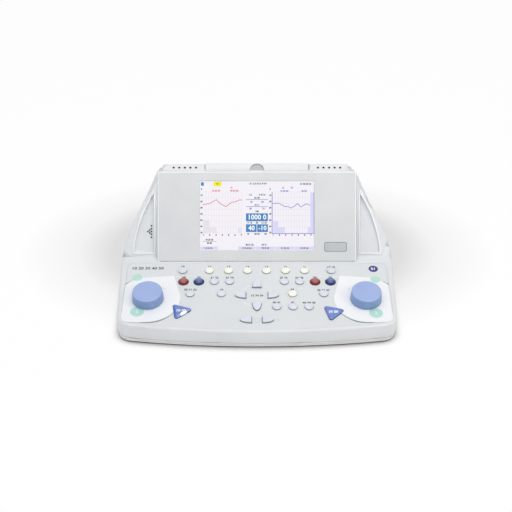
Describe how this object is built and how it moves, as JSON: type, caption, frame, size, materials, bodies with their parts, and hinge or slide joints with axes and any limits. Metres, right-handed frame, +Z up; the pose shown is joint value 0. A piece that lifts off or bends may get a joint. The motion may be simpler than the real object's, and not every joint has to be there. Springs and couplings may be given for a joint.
{
  "type": "clinical audiometer",
  "caption": "Desk console for hearing tests: sloping key deck, two blue dials, leaning colour display, arched wings and a hinged lid over the paper well.",
  "frame": {"origin": "middle of the bounding box, on the plane under the rubber feet", "axes": "+X to the console's right as its user sees it, +Y to the rear, +Z up"},
  "size_m": [0.361, 0.285, 0.1467],
  "materials": {
    "case_white": "fine satin moulding, off-white",
    "tray_grey": "satin moulding, light warm grey",
    "panel_grey": "satin printed sheet and bezel, pale grey",
    "plate_white": "smooth white sheet",
    "dial_blue": "soft-touch satin, light blue",
    "key_cream": "satin, cream",
    "key_grey": "satin, cool light grey",
    "key_red": "satin, deep red",
    "key_blue": "satin, deep blue",
    "tone_blue": "glossy, clear mid blue",
    "screen": "smooth display window",
    "rubber_black": "matte black rubber",
    "board_green": "solder-masked circuit board",
    "plastic_black": "satin black moulding",
    "steel": "plain steel"
  },
  "bodies": {
    "console": {"deck_overlay": "panel_grey", "dial_plate_left": "plate_white", "encoder_left": "steel", "dial_plate_right": "plate_white", "encoder_right": "steel", "key_mat": "rubber_black", "key_board": "board_green", "upper_case": "case_white", "bottom_tray": "tray_grey", "display_bezel": "panel_grey", "screen_window": "screen", "display_module": "plastic_black", "lid_hinge_pin": "steel", "print_head": "steel", "connector_plate": "tray_grey", "socket_board": "plastic_black", "power_inlet": "plastic_black", "switch_frame": "plastic_black", "main_board": "board_green", "monitor_speaker": "plastic_black", "rubber_foot_front_left": "rubber_black", "rubber_foot_rear_left": "rubber_black", "rubber_foot_front_right": "rubber_black", "rubber_foot_rear_right": "rubber_black"},
    "function_key_1": {"function_key_1": "key_cream"},
    "function_key_2": {"function_key_2": "key_cream"},
    "function_key_3": {"function_key_3": "key_cream"},
    "function_key_4": {"function_key_4": "key_cream"},
    "function_key_5": {"function_key_5": "key_cream"},
    "function_key_6": {"function_key_6": "key_cream"},
    "outer_key_left": {"outer_key_left": "key_grey"},
    "pair_key_left_1": {"pair_key_left_1": "key_grey"},
    "pair_key_left_2": {"pair_key_left_2": "key_grey"},
    "pair_key_left_3": {"pair_key_left_3": "key_blue"},
    "pair_key_left_4": {"pair_key_left_4": "key_red"},
    "third_row_key_left_outer": {"third_row_key_left_outer": "key_grey"},
    "third_row_key_left_inner": {"third_row_key_left_inner": "key_grey"},
    "outer_key_right": {"outer_key_right": "key_grey"},
    "pair_key_right_1": {"pair_key_right_1": "key_grey"},
    "pair_key_right_2": {"pair_key_right_2": "key_grey"},
    "pair_key_right_3": {"pair_key_right_3": "key_red"},
    "pair_key_right_4": {"pair_key_right_4": "key_blue"},
    "third_row_key_right_outer": {"third_row_key_right_outer": "key_grey"},
    "third_row_key_right_inner": {"third_row_key_right_inner": "key_cream"},
    "fourth_row_key_1": {"fourth_row_key_1": "key_grey"},
    "fourth_row_key_2": {"fourth_row_key_2": "key_grey"},
    "fourth_row_key_3": {"fourth_row_key_3": "key_grey"},
    "arrow_key_right": {"arrow_key_right": "key_grey"},
    "arrow_key_up": {"arrow_key_up": "key_grey"},
    "arrow_key_left": {"arrow_key_left": "key_grey"},
    "arrow_key_down": {"arrow_key_down": "key_grey"},
    "page_key_right": {"page_key_right": "key_grey"},
    "page_key_left": {"page_key_left": "key_grey"},
    "tone_key_left": {"tone_key_left": "tone_blue"},
    "tone_key_right": {"tone_key_right": "tone_blue"},
    "dial_left": {"dial_left": "dial_blue"},
    "dial_right": {"dial_right": "dial_blue"},
    "lid": {"printer_lid": "case_white"},
    "platen": {"platen_roller": "rubber_black"},
    "rocker": {"power_rocker": "plastic_black"}
  },
  "joints": [
    {"name": "function_key_1_press", "type": "slide", "parent": "console", "child": "function_key_1", "axis": [0, 0.1219, -0.9925], "range_m": [0, 0.0012], "stiffness_N_per_m": 600, "springref_m": -0.0008},
    {"name": "function_key_2_press", "type": "slide", "parent": "console", "child": "function_key_2", "axis": [0, 0.1219, -0.9925], "range_m": [0, 0.0012], "stiffness_N_per_m": 600, "springref_m": -0.0008},
    {"name": "function_key_3_press", "type": "slide", "parent": "console", "child": "function_key_3", "axis": [0, 0.1219, -0.9925], "range_m": [0, 0.0012], "stiffness_N_per_m": 600, "springref_m": -0.0008},
    {"name": "function_key_4_press", "type": "slide", "parent": "console", "child": "function_key_4", "axis": [0, 0.1219, -0.9925], "range_m": [0, 0.0012], "stiffness_N_per_m": 600, "springref_m": -0.0008},
    {"name": "function_key_5_press", "type": "slide", "parent": "console", "child": "function_key_5", "axis": [0, 0.1219, -0.9925], "range_m": [0, 0.0012], "stiffness_N_per_m": 600, "springref_m": -0.0008},
    {"name": "function_key_6_press", "type": "slide", "parent": "console", "child": "function_key_6", "axis": [0, 0.1219, -0.9925], "range_m": [0, 0.0012], "stiffness_N_per_m": 600, "springref_m": -0.0008},
    {"name": "outer_key_left_press", "type": "slide", "parent": "console", "child": "outer_key_left", "axis": [0, 0.1219, -0.9925], "range_m": [0, 0.0012], "stiffness_N_per_m": 600, "springref_m": -0.0008},
    {"name": "pair_key_left_1_press", "type": "slide", "parent": "console", "child": "pair_key_left_1", "axis": [0, 0.1219, -0.9925], "range_m": [0, 0.0012], "stiffness_N_per_m": 600, "springref_m": -0.0008},
    {"name": "pair_key_left_2_press", "type": "slide", "parent": "console", "child": "pair_key_left_2", "axis": [0, 0.1219, -0.9925], "range_m": [0, 0.0012], "stiffness_N_per_m": 600, "springref_m": -0.0008},
    {"name": "pair_key_left_3_press", "type": "slide", "parent": "console", "child": "pair_key_left_3", "axis": [0, 0.1219, -0.9925], "range_m": [0, 0.0012], "stiffness_N_per_m": 600, "springref_m": -0.0008},
    {"name": "pair_key_left_4_press", "type": "slide", "parent": "console", "child": "pair_key_left_4", "axis": [0, 0.1219, -0.9925], "range_m": [0, 0.0012], "stiffness_N_per_m": 600, "springref_m": -0.0008},
    {"name": "third_row_key_left_outer_press", "type": "slide", "parent": "console", "child": "third_row_key_left_outer", "axis": [0, 0.1219, -0.9925], "range_m": [0, 0.0012], "stiffness_N_per_m": 600, "springref_m": -0.0008},
    {"name": "third_row_key_left_inner_press", "type": "slide", "parent": "console", "child": "third_row_key_left_inner", "axis": [0, 0.1219, -0.9925], "range_m": [0, 0.0012], "stiffness_N_per_m": 600, "springref_m": -0.0008},
    {"name": "outer_key_right_press", "type": "slide", "parent": "console", "child": "outer_key_right", "axis": [0, 0.1219, -0.9925], "range_m": [0, 0.0012], "stiffness_N_per_m": 600, "springref_m": -0.0008},
    {"name": "pair_key_right_1_press", "type": "slide", "parent": "console", "child": "pair_key_right_1", "axis": [0, 0.1219, -0.9925], "range_m": [0, 0.0012], "stiffness_N_per_m": 600, "springref_m": -0.0008},
    {"name": "pair_key_right_2_press", "type": "slide", "parent": "console", "child": "pair_key_right_2", "axis": [0, 0.1219, -0.9925], "range_m": [0, 0.0012], "stiffness_N_per_m": 600, "springref_m": -0.0008},
    {"name": "pair_key_right_3_press", "type": "slide", "parent": "console", "child": "pair_key_right_3", "axis": [0, 0.1219, -0.9925], "range_m": [0, 0.0012], "stiffness_N_per_m": 600, "springref_m": -0.0008},
    {"name": "pair_key_right_4_press", "type": "slide", "parent": "console", "child": "pair_key_right_4", "axis": [0, 0.1219, -0.9925], "range_m": [0, 0.0012], "stiffness_N_per_m": 600, "springref_m": -0.0008},
    {"name": "third_row_key_right_outer_press", "type": "slide", "parent": "console", "child": "third_row_key_right_outer", "axis": [0, 0.1219, -0.9925], "range_m": [0, 0.0012], "stiffness_N_per_m": 600, "springref_m": -0.0008},
    {"name": "third_row_key_right_inner_press", "type": "slide", "parent": "console", "child": "third_row_key_right_inner", "axis": [0, 0.1219, -0.9925], "range_m": [0, 0.0012], "stiffness_N_per_m": 600, "springref_m": -0.0008},
    {"name": "fourth_row_key_1_press", "type": "slide", "parent": "console", "child": "fourth_row_key_1", "axis": [0, 0.1219, -0.9925], "range_m": [0, 0.0012], "stiffness_N_per_m": 600, "springref_m": -0.0008},
    {"name": "fourth_row_key_2_press", "type": "slide", "parent": "console", "child": "fourth_row_key_2", "axis": [0, 0.1219, -0.9925], "range_m": [0, 0.0012], "stiffness_N_per_m": 600, "springref_m": -0.0008},
    {"name": "fourth_row_key_3_press", "type": "slide", "parent": "console", "child": "fourth_row_key_3", "axis": [0, 0.1219, -0.9925], "range_m": [0, 0.0012], "stiffness_N_per_m": 600, "springref_m": -0.0008},
    {"name": "arrow_key_right_press", "type": "slide", "parent": "console", "child": "arrow_key_right", "axis": [0, 0.1219, -0.9925], "range_m": [0, 0.0012], "stiffness_N_per_m": 600, "springref_m": -0.0008},
    {"name": "arrow_key_up_press", "type": "slide", "parent": "console", "child": "arrow_key_up", "axis": [0, 0.1219, -0.9925], "range_m": [0, 0.0012], "stiffness_N_per_m": 600, "springref_m": -0.0008},
    {"name": "arrow_key_left_press", "type": "slide", "parent": "console", "child": "arrow_key_left", "axis": [0, 0.1219, -0.9925], "range_m": [0, 0.0012], "stiffness_N_per_m": 600, "springref_m": -0.0008},
    {"name": "arrow_key_down_press", "type": "slide", "parent": "console", "child": "arrow_key_down", "axis": [0, 0.1219, -0.9925], "range_m": [0, 0.0012], "stiffness_N_per_m": 600, "springref_m": -0.0008},
    {"name": "page_key_right_press", "type": "slide", "parent": "console", "child": "page_key_right", "axis": [0, 0.1219, -0.9925], "range_m": [0, 0.0012], "stiffness_N_per_m": 600, "springref_m": -0.0008},
    {"name": "page_key_left_press", "type": "slide", "parent": "console", "child": "page_key_left", "axis": [0, 0.1219, -0.9925], "range_m": [0, 0.0012], "stiffness_N_per_m": 600, "springref_m": -0.0008},
    {"name": "tone_key_left_press", "type": "slide", "parent": "console", "child": "tone_key_left", "axis": [0, 0.1219, -0.9925], "range_m": [0, 0.0012], "stiffness_N_per_m": 600, "springref_m": -0.0008},
    {"name": "tone_key_right_press", "type": "slide", "parent": "console", "child": "tone_key_right", "axis": [0, 0.1219, -0.9925], "range_m": [0, 0.0012], "stiffness_N_per_m": 600, "springref_m": -0.0008},
    {"name": "dial_left_turn", "type": "hinge", "parent": "console", "child": "dial_left", "pos_m": [-0.1388, -0.08593, 0.03395], "axis": [0, -0.1219, 0.9925], "continuous": true},
    {"name": "dial_right_turn", "type": "hinge", "parent": "console", "child": "dial_right", "pos_m": [0.1388, -0.08593, 0.03395], "axis": [0, -0.1219, 0.9925], "continuous": true},
    {"name": "lid_hinge", "type": "hinge", "parent": "console", "child": "lid", "pos_m": [0, 0.1099, 0.09119], "axis": [-1, 0, 0], "range_deg": [0, 100]},
    {"name": "platen_spin", "type": "hinge", "parent": "lid", "child": "platen", "pos_m": [0, 0.06862, 0.13108], "axis": [1, 0, 0], "continuous": true},
    {"name": "rocker_tip", "type": "hinge", "parent": "console", "child": "rocker", "pos_m": [0.101, 0.1385, 0.032], "axis": [-1, 0, 0], "range_deg": [0, 14]}
  ]
}
